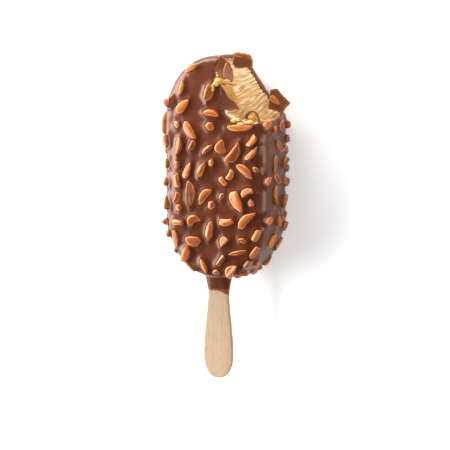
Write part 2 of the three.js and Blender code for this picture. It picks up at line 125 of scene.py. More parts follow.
def stick_grid():
    """The stick as loops across it, from its round end to its inner end.

    Half the plan outline is a soft quarter round for the paddle's end, straight sides that narrow
    smoothly to the waist, and a quarter circle. Each loop follows a quarter round at all four
    edges, drawn in square to the outline, and runs straight across both flats.
    """
    turn = np.linspace(0, math.pi / 2, 28)
    end = np.stack([
        STICK_PADDLE_HALF * np.sin(turn) ** 0.9,
        STICK_PADDLE_Y - (STICK_PADDLE_Y - STICK_END_Y) * np.cos(turn) ** 0.9,
    ])
    side_y = np.linspace(STICK_PADDLE_Y, STICK_INNER_Y - STICK_NECK_HALF, 60)[1:-1]
    share = np.clip((STICK_WAIST_Y - side_y) / (STICK_WAIST_Y - STICK_PADDLE_Y), 0, 1)
    share = share * share * (3 - 2 * share)
    side = np.stack([STICK_NECK_HALF + (STICK_PADDLE_HALF - STICK_NECK_HALF) * share, side_y])
    inner = np.stack([
        STICK_NECK_HALF * np.cos(turn), STICK_INNER_Y - STICK_NECK_HALF * (1 - np.sin(turn)),
    ])
    plan = np.concatenate([end, side, inner], axis=1)
    plan[0, 0] = plan[0, -1] = 0
    along = np.gradient(plan, axis=1)
    along[:, 0], along[:, -1] = (1, 0), (-1, 0)
    outward = np.stack([along[1], -along[0]]) / np.hypot(*along)
    bend = np.linspace(-math.pi / 2, math.pi / 2, 9)
    drawn_in = STICK_SOFT_EDGE * (1 - np.cos(bend))
    flat = STICK_HALF_THICKNESS - STICK_SOFT_EDGE
    height = flat * np.sign(bend) + STICK_SOFT_EDGE * np.sin(bend)
    edge = plan[:, :, None] - outward[:, :, None] * drawn_in
    across = np.linspace(1, -1, 9)[1:-1]
    level = np.ones_like(across)
    top = edge[:, :, -1:] * np.stack([across, level])[:, None]
    bottom = edge[:, :, :1] * np.stack([-across, level])[:, None]
    mirrored = edge[:, :, ::-1] * np.array([-1, 1])[:, None, None]
    x, y = np.concatenate([edge, top, mirrored, bottom], axis=2)
    z = np.concatenate([height, level * height[-1], height[::-1], level * height[0]])
    return np.stack([x + STICK_X, y, np.broadcast_to(z + MIDDLE, x.shape)], axis=-1)


def srgb(code):
    """A hex colour code as linear red, green, blue and alpha."""
    shown = np.array([int(code[k:k + 2], 16) for k in (1, 3, 5)]) / 255
    linear = np.where(shown <= 0.04045, shown / 12.92, ((shown + 0.055) / 1.055) ** 2.4)
    return (*linear.tolist(), 1.0)


def new_material(name):
    """An empty material and its node tree."""
    material = bpy.data.materials.new(name)
    material.use_nodes = True
    tree = material.node_tree
    tree.nodes.clear()
    return material, tree


def node(tree, kind, inputs, **settings):
    """Adds a node with its settings. Each input is a value, or the socket that feeds it."""
    made = tree.nodes.new(kind)
    for label, value in settings.items():
        setattr(made, label, value)
    for label, value in inputs.items():
        if isinstance(value, bpy.types.NodeSocket):
            tree.links.new(value, made.inputs[label])
        else:
            made.inputs[label].default_value = value
    return made


def mottling(tree, pitch, detail, roughness, squeeze=1.0):
    """Cloudy unevenness with a pitch in metres. A squeeze below 1 draws it out along Y."""
    place = node(tree, "ShaderNodeTexCoord", {}).outputs["Object"]
    place = node(tree, "ShaderNodeMapping", {"Vector": place, "Scale": (1.0, squeeze, 1.0)}).outputs[0]
    return node(tree, "ShaderNodeTexNoise", {
        "Vector": place, "Scale": 1 / pitch, "Detail": detail, "Roughness": roughness,
    }).outputs["Fac"]


def ranged(tree, value, low, high, start=0.0, end=1.0):
    """A value between low and high carried to one between start and end, and kept there."""
    return node(tree, "ShaderNodeMapRange", {
        "Value": value, "From Min": low, "From Max": high, "To Min": start, "To Max": end,
    }).outputs[0]


def blend(tree, share, first, second):
    """One colour turned into a second by a share."""
    return node(tree, "ShaderNodeMix", {0: share, 6: first, 7: second}, data_type="RGBA").outputs[2]


def carried(tree, label):
    """A value that the mesh carries."""
    return node(tree, "ShaderNodeAttribute", {}, attribute_name=label).outputs["Fac"]


def bumps(tree, height, strength, depth):
    """A shading direction roughened by a height, to a depth in metres."""
    return node(tree, "ShaderNodeBump", {
        "Height": height, "Strength": strength, "Distance": depth,
    }).outputs[0]


def end_with(tree, inputs):
    """Ends a material in one surface."""
    surface = node(tree, "ShaderNodeBsdfPrincipled", inputs)
    node(tree, "ShaderNodeOutputMaterial", {"Surface": surface.outputs[0]})


# Birch veneer, cut and tumbled but not varnished: pale and dull, with straight fine grain along the
# stick, faint broad bands of growth and short darker flecks.
birch, tree = new_material("birch veneer, tumbled")
grain = mottling(tree, 0.0009, 4.0, 0.7, squeeze=0.03)  # vessel lines, 0.4 mm apart
bands = mottling(tree, 0.006, 2.0, 0.5, squeeze=0.03)  # growth bands, some 4 mm wide
fleck = mottling(tree, 0.0008, 1.0, 0.5, squeeze=0.22)  # rays, 0.3 mm wide and 1.5 mm long
banded = blend(tree, ranged(tree, bands, 0.35, 0.65), srgb("#ac967c"), srgb("#a4886c"))
lined = blend(tree, ranged(tree, grain, 0.45, 0.7, end=0.55), banded, srgb("#99795d"))
flecked = blend(tree, ranged(tree, fleck, 0.62, 0.72, end=0.35), lined, srgb("#836146"))
end_with(tree, {
    "Base Color": flecked, "Roughness": 0.62, "IOR": 1.5, "Specular IOR Level": 0.35,
    "Normal": bumps(tree, grain, 0.25, 0.0001),
})

stick = new_piece("birch_stick", stick_grid())
stick.data.materials.append(birch)
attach(stick, "root")
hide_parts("stick")

# ---- The ice cream ----
# Dairy ice cream, frozen in a mould with two rounded ends and flat faces. Where the corner was eaten
# the teeth dragged it into soft ridges that run from the face to the back.

HALF_WIDTH, HALF_LENGTH, HALF_THICKNESS = 24.8, 49.2, 13.0
TOP_RISE, TOP_POWER = 28.0, 2.15  # length of the rounded tip, and how square it is
FOOT_RISE, FOOT_POWER = 29.0, 2.0
END_RADIUS = 26.0  # mean radius of both ends, for the number of points round them
EDGE_POWER = 9.0  # how tight the edge between face and side is
FACE_CROWN, SIDE_BULGE = 0.05, 0.03
CHOCOLATE_WALL = 1.5
HIDDEN_SPACING = 1.3  # of the points on the wall between chocolate and ice cream
GAP = 0.05  # between chocolate and ice cream
BITE_X, BITE_Y = 25.0, 50.0  # the missing corner
BITE_ACROSS, BITE_ALONG = (20.0, 24.4), (27.0, 30.5)  # at the back and at the face
BITE_POWER = (1.25, 4.4)
BITE_DIP = 0.5  # the ice cream lies below the broken chocolate
BITE_ARC = 48.0  # length of the bite's arc, about
BITE_BEYOND = 40.0  # the cut runs on past the bar
TEETH = 17


def power(base, exponent):
    """A power that keeps the sign of its base."""
    return np.sign(base) * np.abs(base) ** exponent


def reach_out(points, under=0.0):
    """How far out points lie, as a share of the way to the skin, or to a layer under it.

    In plan it is a superellipse at both ends, set apart by straight sides. With the height it makes
    a much squarer superellipse, whose face sinks and whose side draws in toward their edge.
    """
    x, y, z = np.abs(points[..., 0]), points[..., 1], points[..., 2]
    rise = np.where(y > 0, TOP_RISE, FOOT_RISE)
    plan_power = np.where(y > 0, TOP_POWER, FOOT_POWER)
    along = np.maximum(np.abs(y) - (HALF_LENGTH - rise), 0) / (rise - under)
    across = x / (HALF_WIDTH - under)
    out = (across ** plan_power + along ** plan_power) ** (1 / plan_power)
    up = np.abs(z - MIDDLE) / (HALF_THICKNESS - under)
    side = out / (1 - SIDE_BULGE * up ** 2)
    face = up / (1 - FACE_CROWN * out ** 2)
    return (side ** EDGE_POWER + face ** EDGE_POWER) ** (1 / EDGE_POWER)


def steepest(points, under=0.0):
    """The slope of reach_out at points, by small steps along each axis."""
    step = np.eye(3) * 0.01
    ahead = [reach_out(points + step[k], under) - reach_out(points - step[k], under) for k in range(3)]
    return np.stack(ahead, axis=-1) / 0.02


def unit(vectors):
    """Vectors of length 1."""
    return vectors / np.linalg.norm(vectors, axis=-1, keepdims=True)


def bar_grid(spacing, under=0.0):
    """The bar's skin, or a layer under it, as rings of evenly spaced points.

    The rings are the plan outline drawn in by even steps, from the middle line of the back over the
    edge to that of the face, set at the height of a superellipse. Newton steps along the steepest
    slope of reach_out then bring them onto the skin.
    """
    width, thick = HALF_WIDTH - under, HALF_THICKNESS - under
    angle = np.linspace(-1, 1, 8001) * math.pi / 2
    out = np.cos(angle) ** (2 / EDGE_POWER)
    out[[0, -1]] = 0
    profile = np.stack([width * out, thick * power(np.sin(angle), 2 / EDGE_POWER)])
    run = np.concatenate([[0], np.cumsum(np.hypot(*np.diff(profile)))])
    stops = np.linspace(0, run[-1], 2 * round(run[-1] / spacing / 2) + 1)
    half = np.interp(stops, run, profile[0])[:, None]
    height = np.interp(stops, run, profile[1])[:, None]
    top, foot = HALF_LENGTH - TOP_RISE, FOOT_RISE - HALF_LENGTH
    round_steps = 2 * round(math.pi * END_RADIUS / spacing / 2)
    side_steps = round((top - foot) / spacing)
    turn = np.arange(round_steps) / round_steps * math.pi
    down = np.broadcast_to(np.arange(side_steps) / side_steps, (len(half), side_steps))
    drawn_in = width - half
    circle = np.stack([np.cos(turn), np.sin(turn)])
    (tip_x, tip_y), (foot_x, foot_y) = power(circle, 2 / TOP_POWER), power(circle, 2 / FOOT_POWER)
    straight = np.ones(side_steps)
    x = half * np.concatenate([tip_x, -straight, -foot_x, straight])
    y = np.concatenate([
        top + (TOP_RISE - under - drawn_in) * tip_y,
        top + (foot - top) * down,
        foot - (FOOT_RISE - under - drawn_in) * foot_y,
        foot + (top - foot) * down,
    ], axis=1)
    points = np.stack([x, y, np.broadcast_to(MIDDLE + height, x.shape)], axis=-1)
    for _ in range(6):
        slope = steepest(points, under)
        miss = (reach_out(points, under) - 1) / (slope ** 2).sum(-1)
        points = points - slope * miss[..., None]
    return points


def swell(places, seed, waves=24):
    """Even random unevenness, mostly between -1 and 1: a sum of cosine waves in random directions,
    with lengths near 1 in the units of the places."""
    draw = np.random.default_rng(seed)
    direction = unit(draw.normal(size=(waves, places.shape[-1])))
    pitch = direction * (2 * math.pi * draw.uniform(0.6, 1.5, (waves, 1)))
    start = draw.uniform(0, 2 * math.pi, waves)
    return np.cos(places @ pitch.T + start).sum(-1) * math.sqrt(0.5 / waves)


def bite_arc(depth):
    """Reach across and along, and the power, of the bite's arc at depths from 0, back, to 1, face."""
    across = BITE_ACROSS[0] + (BITE_ACROSS[1] - BITE_ACROSS[0]) * depth
    along = BITE_ALONG[0] + (BITE_ALONG[1] - BITE_ALONG[0]) * depth
    return across, along, BITE_POWER[0] * (BITE_POWER[1] / BITE_POWER[0]) ** depth


def bite_tool(name, round_steps, deep_steps, extra_reach):
    """The eaten corner as a solid to cut with: arcs about the missing corner, from the bar's tip to
    its side, at depths from behind the back to before the face. The extra reach eats further in."""
    share = np.linspace(0, 1, round_steps)[None]
    depth = np.linspace(-0.25, 1.25, deep_steps)[:, None]
    across, along, arc_power = bite_arc(depth)
    left, down = np.cos(share * math.pi / 2), np.sin(share * math.pi / 2)
    left[0, -1] = 0
    reach = (left ** arc_power + down ** arc_power) ** (-1 / arc_power)
    extra = extra_reach(share, depth)
    x = BITE_X - (across + extra) * left * reach
    y = BITE_Y - (along + extra) * down * reach
    far = np.full((deep_steps, 1), BITE_BEYOND)
    x = np.concatenate([BITE_X + far, x[:, :1], x, BITE_X + far], axis=1)
    y = np.concatenate([BITE_Y + far, BITE_Y + far, y, y[:, -1:]], axis=1)
    z = np.broadcast_to(2 * HALF_THICKNESS * depth, x.shape)
    return new_piece(name, np.stack([x, y, z], axis=-1), capped_faces(*x.shape))


def carve(piece, tool, operation="DIFFERENCE"):
    """Cuts a tool away from a piece, or joins it on. The tool is used up."""
    step = piece.modifiers.new("carve", "BOOLEAN")
    step.object, step.operation, step.solver = tool, operation, "MANIFOLD"
    seen = piece.evaluated_get(bpy.context.evaluated_depsgraph_get())
    carved = bpy.data.meshes.new_from_object(seen)
    piece.modifiers.clear()
    carved.materials.clear()
    piece.data = carved
    bpy.data.meshes.remove(tool.data)


def drag_lumps(along_arc, through):
    """Low lumps some 6 mm across along the bite's arc and 8 mm through it."""
    return 0.32 * swell(np.stack([along_arc / 6, through / 8], axis=-1), 4)


def tooth_drag(share, depth):
    """Extra reach of the bite in the ice cream: a shallow groove for each ridge of the teeth, lumps
    and streaks 1 mm apart that run with the drag, and less reach toward the face, except at dents."""
    along_arc, through = np.broadcast_arrays(share * BITE_ARC, 2 * HALF_THICKNESS * depth)
    wander = swell(np.stack([along_arc / 9, through / 12], axis=-1), 3)
    grooves = 0.14 * np.cos(TEETH * 2 * math.pi * share + 2.2 * wander)
    lumps = drag_lumps(along_arc, through)
    slant = along_arc + 0.12 * through + 0.5 * wander
    streaks = 0.24 * swell(np.stack([slant / 1.15, through / 8], axis=-1), 5)
    fine = 0.05 * swell(np.stack([slant / 0.6, through / 2], axis=-1), 6)
    flush = 0.75 * np.clip((through - 20) / 4, 0, 1) ** 2  # it bulges level with the face's chocolate
    dents = np.exp(-((share - 0.13) / 0.09) ** 2) + np.exp(-((share - 0.38) / 0.08) ** 2)
    dents = 1.3 * dents * np.clip((through - 14) / 5, 0, 1)  # where two shards lie in it
    return BITE_DIP - flush + dents + grooves + lumps + streaks + fine


# Ice cream, aerated and dragged open by teeth: matt and soft, with fine pores and light that bleeds
# a little below the surface. A painted highlight makes its ridges pale, and painted shade makes its
# hollows deeper yellow.
cream, tree = new_material("dairy ice cream, torn")
cloud = mottling(tree, 0.005, 3.0, 0.6)  # patches, 5 mm
pores = mottling(tree, 0.0007, 3.0, 0.65)  # air cells, 0.35 mm, coarser than the real ones
# painted highlight on the ridges and painted shade in the hollows, by the carried ridge value
highlit_ridges = blend(tree, carried(tree, "ridge"), srgb("#cb9448"), srgb("#f7e3c0"))
patchy = blend(tree, ranged(tree, cloud, 0.4, 0.7, end=0.35), highlit_ridges, srgb("#efc07c"))
end_with(tree, {
    "Base Color": patchy, "Roughness": 0.55, "IOR": 1.35, "Specular IOR Level": 0.4,
    "Subsurface Weight": 0.25, "Subsurface Radius": (1.0, 0.6, 0.3), "Subsurface Scale": 0.0012,
    "Normal": bumps(tree, pores, 0.5, 0.0002),
})


def read_places(parts, label):
    """Where a mesh's points, or the middles of its faces, lie in bar millimetres."""
    flat = np.empty(len(parts) * 3, np.float32)
    parts.foreach_get(label, flat)
    return flat.reshape(-1, 3) * 1000 - BAR_PLACE


def bite_place(points):
    """Where points lie in the bite: share round the arc, depth, and distance beyond the clean arc."""
    depth = points[:, 2] / (2 * HALF_THICKNESS)
    across, along, arc_power = bite_arc(depth)
    left = np.maximum(BITE_X - points[:, 0], 1e-6)
    down = np.maximum(BITE_Y - points[:, 1], 1e-6)
    share = np.arctan2(down / along, left / across) * 2 / math.pi
    reach = ((left / across) ** arc_power + (down / along) ** arc_power) ** (1 / arc_power)
    return share, depth, (reach - 1) * np.hypot(left, down) / reach


ice_cream = new_piece("ice_cream_block", bar_grid(HIDDEN_SPACING, CHOCOLATE_WALL + GAP))
carve(ice_cream, bite_tool("teeth", 280, 110, tooth_drag))
shade(ice_cream, 80)
bitten = read_places(ice_cream.data.vertices, "co")
share, depth, beyond = bite_place(bitten)
smooth_reach = BITE_DIP + drag_lumps(share * BITE_ARC, 2 * HALF_THICKNESS * depth)
# Painted highlight and shade: paler where the ice cream stands above the smooth arc of the bite, on its
# ridges, and deeper yellow where it sinks below it, in its hollows; it is also paler toward the tip.
toward_tip = np.clip((bitten[:, 1] - 18) / 26, 0, 1)  # it is paler there
ridge = np.clip(0.08 + 0.52 * toward_tip - 2.0 * (beyond - smooth_reach), 0, 1)
carry(ice_cream.data, "ridge", ridge)
ice_cream.data.materials.append(cream)
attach(ice_cream, "root")
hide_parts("ice_cream")

CREAM_SMEARS = [  # middle and half sizes of what the teeth pushed onto the face and the shards
    ((2.1, 38.0, 25.9), (2.0, 1.3, 0.8)), ((0.9, 36.6, 26.3), (1.5, 1.2, 0.5)),
    ((-0.3, 34.9, 26.9), (0.8, 1.7, 0.5)), ((1.6, 40.2, 26.0), (0.6, 0.6, 0.6)),
    ((1.2, 41.3, 26.1), (0.35, 0.35, 0.4)), ((4.4, 37.3, 23.8), (2.6, 1.2, 1.0)),
    ((7.0, 36.5, 21.6), (1.9, 0.9, 0.9)), ((13.0, 19.6, 26.8), (1.7, 0.7, 0.6)),
    ((9.4, 20.9, 26.1), (1.5, 0.8, 0.6)), ((17.0, 20.4, 25.6), (1.8, 0.9, 0.6)),
    ((7.5, 50.5, 19.0), (1.3, 0.5, 0.4)), ((9.6, 50.2, 18.4), (1.5, 0.6, 0.45)),
    ((11.8, 49.6, 17.7), (1.2, 0.4, 0.35)),
    ((15.0, 22.0, 19.4), (1.7, 1.3, 0.9)),
]
LUMP_RINGS, LUMP_POINTS = 11, 18


def lump_grid(lumps, seed):
    """Lumps as rings round an upright axis between two poles, each bulged and pitted by swells."""
    tilt = np.linspace(-90, 90, LUMP_RINGS)[:, None] * math.pi / 180
    around = np.arange(LUMP_POINTS) / LUMP_POINTS * 2 * math.pi
    ball = np.stack(np.broadcast_arrays(
        np.cos(tilt) * np.cos(around), np.cos(tilt) * np.sin(around), np.sin(tilt)), axis=-1)
    middle, half = np.array(lumps).transpose(1, 0, 2)[:, :, None, None]
    bulge = 1 + 0.16 * swell(ball * 0.9 + middle * 3, seed) + 0.07 * swell(ball * 3 + middle, seed + 1)
    return middle + ball * half * bulge[..., None]


loops = lump_grid(CREAM_SMEARS, 60)
pale = np.where(loops[:, :1, :1, 1] > 45, 1.0, 0.05)  # the crumbs at the tip are paler
smears = new_piece(
    "cream_smears", loops, grid_faces(*loops.shape[1:3], len(CREAM_SMEARS)), 80, ridge=pale)
smears.data.materials.append(cream)
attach(smears, "root")
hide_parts("ice_cream", "curl")

# ---- Where the almonds lie ----
# Roasted almonds, chopped to slices and bits, stick to the chocolate while it is soft. Those that
# show best have their places here, and the rest fall at random where there is room.

ALMOND_OUTLINES = {  # unit outlines, length along X
    "lens": [(1, -0.1), (0.45, 0.42), (-0.45, 0.42), (-1, -0.1), (-0.5, -0.5), (0.5, -0.5)],
    "slat": [(1, -0.42), (0.9, 0.4), (-0.85, 0.5), (-1, -0.3), (-0.7, -0.5)],
    "wedge": [(1, 0.05), (0.2, 0.46), (-0.75, 0.5), (-1, -0.1), (-0.6, -0.5), (0.3, -0.36)],
    "chip": [(0.9, -0.15), (0.3, 0.5), (-0.7, 0.4), (-0.95, -0.3), (0.1, -0.5)],
}
ALMOND_HEIGHTS = (0.9, 1.9)
SIDE_HEIGHTS = (1.5, 2.3)  # of those placed on the sides
ALMOND_LEAN = 0.3  # how much higher a cut top is at one end, at most, as a share
ALMOND_CLEAR = 0.8  # bare chocolate between two almonds, about
FACE_ALMONDS = {  # across, along, length, width and turn
    "lens": [
        (-11.3, 43.3, 6.9, 3.5, 27), (-15.8, 34.7, 6.7, 2.4, 75), (-2.6, 32.7, 8.1, 4.3, 74),
        (-1.1, 24, 8.1, 2.8, -7), (12.3, 18.2, 13, 3, 2), (-11.2, 16.4, 10.3, 3.9, -55),
        (-17, 9, 9, 2.9, 79), (-3, 8.3, 7.1, 2.3, 39), (-5.9, -0.7, 7.3, 3, 64),
        (14.7, -0.7, 9.9, 3.7, -40), (-11.7, -11.6, 12.2, 4.1, 90), (-4.4, -12.1, 9.4, 3.6, 49),
        (-2.1, -27.5, 9.4, 3.5, 81), (-9.8, -31.9, 8.5, 4.5, -5), (-18.6, -31.5, 8.5, 3.2, -81),
        (11.2, -36.3, 9, 1.9, 14), (-4.8, -43, 7, 2.5, -70),
    ],
    "wedge": [
        (-14.6, 26.8, 8.6, 4.1, 44), (9.9, 7.1, 11.2, 4.6, 59), (3.7, 9.5, 6.6, 5.2, 90),
        (17.9, 6.9, 8.2, 2.8, 47), (10.9, -14.6, 10.6, 5.2, -63), (15.6, -22, 10.5, 4, 42),
        (7.8, -44.5, 7.6, 4.1, 47),
    ],
    "slat": [
        (-17.6, -6.1, 6.2, 3, 101), (-18, -13.6, 5.5, 2.4, 66), (-9.8, -23, 5.8, 3.6, 34),
        (6.1, -23.2, 6.7, 3.1, 7), (15.6, -10, 5.7, 3.1, 25),
    ],
    "chip": [(-1.6, 18.5, 4.3, 4.1, 44), (-1.1, -16, 4.5, 3.6, 79), (5.1, -31.7, 5.7, 3.6, 35)],
}
RIGHT_ALMONDS = {  # on the right side: height from the back, along, length, width and turn
    "lens": [(18.5, -11.6, 8.8, 3.6, 90), (13.5, 9.8, 9.5, 3, -35), (6.5, 2.4, 8.5, 3.2, 25)],
    "wedge": [(10.5, 17.5, 7.2, 4.4, -66), (7, -14.4, 8, 4.2, 40), (17, -31, 7, 4, 65)],
    "chip": [
        (23.4, 19.3, 4.4, 3.6, 50), (4.5, 18.8, 4.2, 3.4, 84), (4.5, 12.4, 3.8, 3.4, 84),
        (23.2, -4.8, 4.6, 2.8, 64), (5.5, -6.3, 4.9, 3.8, 57), (22.8, -22, 4.4, 3, 59),
        (15, -22.8, 5.8, 3.4, 70), (4.6, -26, 5, 3.6, 84),
    ],
}
LEFT_ALMONDS = {  # the same on the left side
    "wedge": [(24.2, 11.4, 6, 3.4, 84), (24, -15.9, 6.4, 3.8, 96)],
    "chip": [
        (24.4, 28.4, 4.8, 4.4, 80), (24, 1.4, 4.8, 3.8, 90), (23.8, -6.6, 4.2, 3.8, 90),
        (24, -24.3, 3.8, 3.4, 90), (24, -29.2, 3.6, 3.2, 90),
    ],
}
MIDDLE_ALMONDS = {  # small ones in the middle of the face, laid last
    "slat": [(7.8, -2.7, 4.9, 2.7, 62), (4.4, -5.6, 4.6, 2.5, -50)],
    "chip": [(-1.1, 2.5, 3.7, 2.5, 80), (3.9, -12, 3.8, 2.3, 62)],
}
FILL_ALMONDS = [  # kind, lengths, widths and tries, largest first
    ("lens", (8, 10.5), (3, 4.2), 150), ("wedge", (6.5, 9), (3.2, 4.6), 220),
    ("slat", (4.6, 6.4), (2, 3), 420), ("chip", (3.3, 4.6), (2.2, 3.2), 840),
]
ALMOND_SEED = 92
BARE_TIP_Y, BARE_TIP_Z = 33, 0.5  # few almonds stuck beyond these
BARE_NECK, BARE_BITE = 12, 2.5  # nor this near the collar and the bite
BARE_RIDGE_X, BARE_RIDGE_Y, BARE_RIDGE_Z = 20, 30, 21.5  # nor on the right ridge, beyond these


def random_numbers(state):
    """Repeatable random numbers from 0 to 1, each worked out from the last by one multiplication."""
    while True:
        state = (state * 1664525 + 1013904223) % 2 ** 32
        yield state / 2 ** 32


def skin_point(around, tilt):
    """The skin point at an angle around, 0 to 4 from the tip by the left side, the foot and the
    right side, and a tilt of -1, middle of the back, to 1, middle of the face."""
    out = math.cos(tilt * math.pi / 2) ** (2 / EDGE_POWER)
    rise = float(power(math.sin(tilt * math.pi / 2), 2 / EDGE_POWER))
    share = out * (1 - SIDE_BULGE * rise ** 2)
    z = MIDDLE + HALF_THICKNESS * rise * (1 - FACE_CROWN * out ** 2)
    top, foot = HALF_LENGTH - TOP_RISE, FOOT_RISE - HALF_LENGTH
    part, turn = divmod(around, 1)
    if part % 2:
        y = (top + (foot - top) * turn) if part == 1 else (foot + (top - foot) * turn)
        return np.array([(part - 2) * HALF_WIDTH * share, y, z])
    plan_power, rise_y = (TOP_POWER, TOP_RISE) if part == 0 else (FOOT_POWER, FOOT_RISE)
    x = HALF_WIDTH * share * power(math.cos(turn * math.pi), 2 / plan_power)
    y = rise_y * share * power(math.sin(turn * math.pi), 2 / plan_power)
    return np.array([x, top + y, z]) if part == 0 else np.array([-x, foot - y, z])


def land_on(start, inward):
    """Where a line from outside meets the skin, found by halving."""
    outside, inside = 0.0, 30.0
    for _ in range(40):
        middle = (outside + inside) / 2
        if reach_out(start + inward * middle) < 1:
            inside = middle
        else:
            outside = middle
    return start + inward * inside


def plane_frame(normal):
    """Level and upright directions in the plane that faces along a normal."""
    level = np.cross((0, 1, 0), normal) if abs(normal[1]) < 0.95 else np.array([1.0, 0, 0])
    level = unit(level - normal * level.dot(normal))
    return level, np.cross(normal, level)


def laid_almond(kind, point, normal, degrees, length, width, height, lean=(0, 0)):
    """An almond with its place and its directions along, across and out of the skin."""
    level, upright = plane_frame(normal)
    angle = math.radians(degrees)
    lengthwise = level * math.cos(angle) + upright * math.sin(angle)
    axes = np.stack([lengthwise, np.cross(normal, lengthwise), normal])
    return {"kind": kind, "point": point, "axes": axes, "size": (length, width, height), "lean": lean}


def keeps_clear(point, length, width, almonds):
    """Whether a point lies outside the ovals round almonds, widened for a piece of this size."""
    reach = (length + width) / 4 + ALMOND_CLEAR
    away = np.einsum("nij,nj->ni", [a["axes"] for a in almonds], point - [a["point"] for a in almonds])
    half = np.array([a["size"] for a in almonds])[:, [0, 1, 1]] / 2
    return bool((((away / (half + reach)) ** 2).sum(-1) > 1).all())


def is_bare(point):
    """Whether almonds are missing here: on the tip and the right ridge, by the neck and the bite."""
    across, along, arc_power = bite_arc(point[2] / (2 * HALF_THICKNESS))
    left = max(BITE_X - point[0], 0) / (across + BARE_BITE)
    down = max(BITE_Y - point[1], 0) / (along + BARE_BITE)
    neck = np.linalg.norm(point - (STICK_X, -HALF_LENGTH, MIDDLE)) < BARE_NECK
    tip = point[1] > BARE_TIP_Y and point[2] > BARE_TIP_Z
    beside = point[0] > BARE_RIDGE_X and abs(point[1]) < BARE_RIDGE_Y
    ridge = beside and point[2] > BARE_RIDGE_Z
    return tip or ridge or neck or left ** arc_power + down ** arc_power < 1


def edge_turn(normal):
    """The turn in degrees that lays a piece along the outline of the bar."""
    level, upright = plane_frame(normal)
    along = np.cross((0, 0, 1), normal)
    return math.degrees(math.atan2(along.dot(upright), along.dot(level)))


def scatter_almonds():
    """The almonds with places of their own, and drawn ones wherever they keep clear."""
    draw = random_numbers(ALMOND_SEED)
    almonds = []

    def between(low, high):
        return low + (high - low) * next(draw)

    def top(heights):
        return between(*heights), [between(-ALMOND_LEAN, ALMOND_LEAN) for _ in range(2)]

    def lay_table(table, heights, outward):
        """Lays a table's almonds where lines from outside meet the skin. Each one's first number is
        its place across on the face, and its height on the sides."""
        outward = np.array(outward)
        for kind, places in table.items():
            for first, along, length, width, degrees in places:
                start = 40 * outward + (first * outward[2], along, first * abs(outward[0]))
                point = land_on(start, -outward)
                almonds.append(laid_almond(
                    kind, point, unit(steepest(point)), degrees, length, width, *top(heights)))

    lay_table(FACE_ALMONDS, ALMOND_HEIGHTS, (0.0, 0, 1))
    lay_table(RIGHT_ALMONDS, SIDE_HEIGHTS, (1.0, 0, 0))
    lay_table(LEFT_ALMONDS, SIDE_HEIGHTS, (-1.0, 0, 0))
    for kind, lengths, widths, tries in FILL_ALMONDS:
        for _ in range(tries):
            point = skin_point(next(draw) * 4, next(draw) * 2 - 1)
            size = (between(*lengths), between(*widths), *top(ALMOND_HEIGHTS))
            swing = next(draw)
            normal = unit(steepest(point))
            on_edge = 0.25 < abs(normal[2]) < 0.97
            degrees = edge_turn(normal) - 20 + 40 * swing if on_edge else swing * 360
            if not is_bare(point) and keeps_clear(point, size[0], size[1], almonds):
                almonds.append(laid_almond(kind, point, normal, degrees, *size))
    lay_table(MIDDLE_ALMONDS, ALMOND_HEIGHTS, (0.0, 0, 1))
    return almonds


almonds = scatter_almonds()

# ---- The chocolate ----
# Milk chocolate: the frozen bar is dipped, almonds and all, so the coat is smooth, a little wavy and
# climbs the foot of each almond. It ran down the stick and set there as a collar, longer at the
# right. At the bite it snapped and left a wall that stands just proud of the ice cream.

CHOCOLATE_SPACING = 0.5
WAVE_HEIGHT, WAVE_LENGTH = 0.07, 11.0  # the coat's slight waves
CLIMB, CLIMB_WIDTH = 0.3, 1.6  # share of an almond's height, and reach beyond its outline
CLIMB_END = 3.0  # none further from an almond than this
NECK_ROOT_Y, NECK_END_Y, NECK_HANG = -44.0, -54.9, 1.7
NECK_WALL, NECK_FLARE, NECK_LIP = 0.4, 2.3, 0.35
NECK_RINGS, LIP_RINGS, NECK_POINTS = 30, 6, 96
TONGUE_SHARE, TONGUE_WIDTHS, TONGUE_LENGTH = 0.295, (0.05, 0.11), 2.3
SNAP_MISS = 0.04  # faces this near the break are part of it
# the break is painted paler: its broken section, and a painted highlight where a rounded break would
# catch light
SNAP_PALENESS = 0.3


def climb_almonds(points):
    """How far the chocolate rises round the almonds: each lifts it by a share of its own height,
    fading with the distance from the straight sides of its outline; neighbours add as squares."""
    lifted = np.zeros(len(points))
    for almond in almonds:
        length, width, height = almond["size"]
        near = np.flatnonzero(np.linalg.norm(points - almond["point"], axis=1) < length / 2 + CLIMB_END)
        spot = (points[near] - almond["point"]) @ almond["axes"].T
        corners = np.array(ALMOND_OUTLINES[almond["kind"]]) * (length / 2, width)
        side = np.roll(corners, -1, axis=0) - corners
        away = spot[:, None, :2] - corners
        share = np.clip((away * side).sum(-1) / (side ** 2).sum(-1), 0, 1)
        nearest = np.linalg.norm(away - share[..., None] * side, axis=-1).min(1)
        inside = (np.cross(side, away) > 0).all(1) | (np.cross(side, away) < 0).all(1)
        nearest = np.where(inside, 0, nearest)
        rise = CLIMB * height * np.exp(-(nearest / CLIMB_WIDTH) ** 2)
        lifted[near] += np.where(np.abs(spot[:, 2]) < CLIMB_END, rise, 0) ** 2
    return np.sqrt(lifted)


def snapped(share, depth):
    """Extra reach of the bite in the chocolate: long and short waves and a jagged line, stronger
    toward the face, and a tongue left standing there."""
    jag = 0.16 * swell(np.stack(np.broadcast_arrays(share * BITE_ARC / 1.3, depth * 3), -1), 8)
    width = np.where(share < TONGUE_SHARE, *TONGUE_WIDTHS)
    tongue = TONGUE_LENGTH * np.exp(-((share - TONGUE_SHARE) / width) ** 2)
    tongue = tongue - 1.0 * np.exp(-((share - 0.15) / 0.07) ** 2)  # a notch above it
    waves = 0.3 * np.sin(share * 26) + 0.25 * np.sin(share * 61 + 1)
    rough = 0.25 + 0.75 * np.clip(depth * 1.5, 0, 1)
    return (waves + jag) * rough - tongue * np.maximum(depth, 0) ** 4


